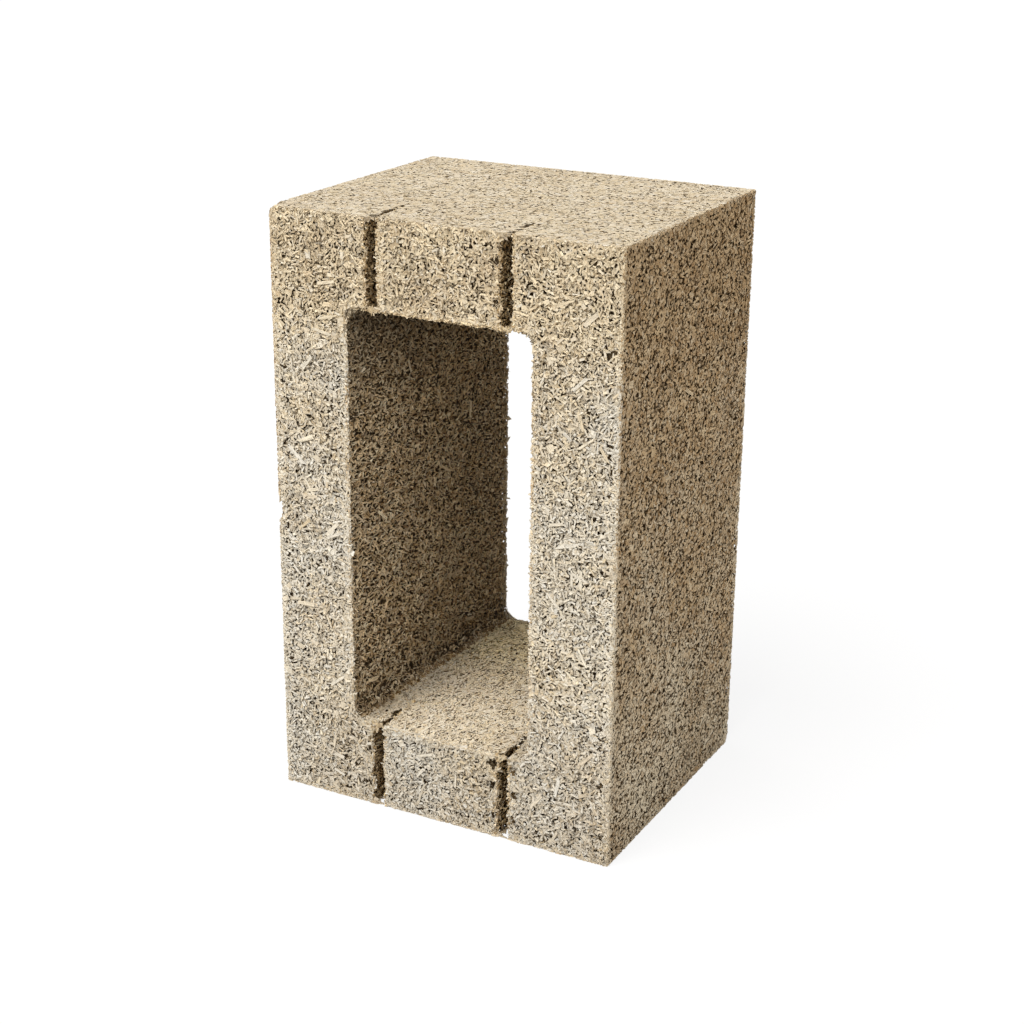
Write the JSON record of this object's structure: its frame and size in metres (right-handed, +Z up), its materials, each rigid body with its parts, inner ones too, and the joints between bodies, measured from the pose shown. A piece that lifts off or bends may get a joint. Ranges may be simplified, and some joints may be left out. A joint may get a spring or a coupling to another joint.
{
  "type": "concrete formwork block",
  "caption": "Formwork block of chip-filled lightweight concrete with a rounded drafted core open at both bed faces and tapered knock-out slots in its end webs.",
  "frame": {"origin": "centre of the end that the block stands on, on the floor", "axes": "+Z up along the block's length, +X through the wall from one side shell to the other, +Y from the slotted bed face to the plain bed face, along the core"},
  "size_m": [0.3, 0.25, 0.492],
  "materials": {
    "chip_concrete": "rough, open-pored, pale wood chips bound in cement and lime"
  },
  "bodies": {
    "root": {"block": "chip_concrete"}
  },
  "joints": []
}
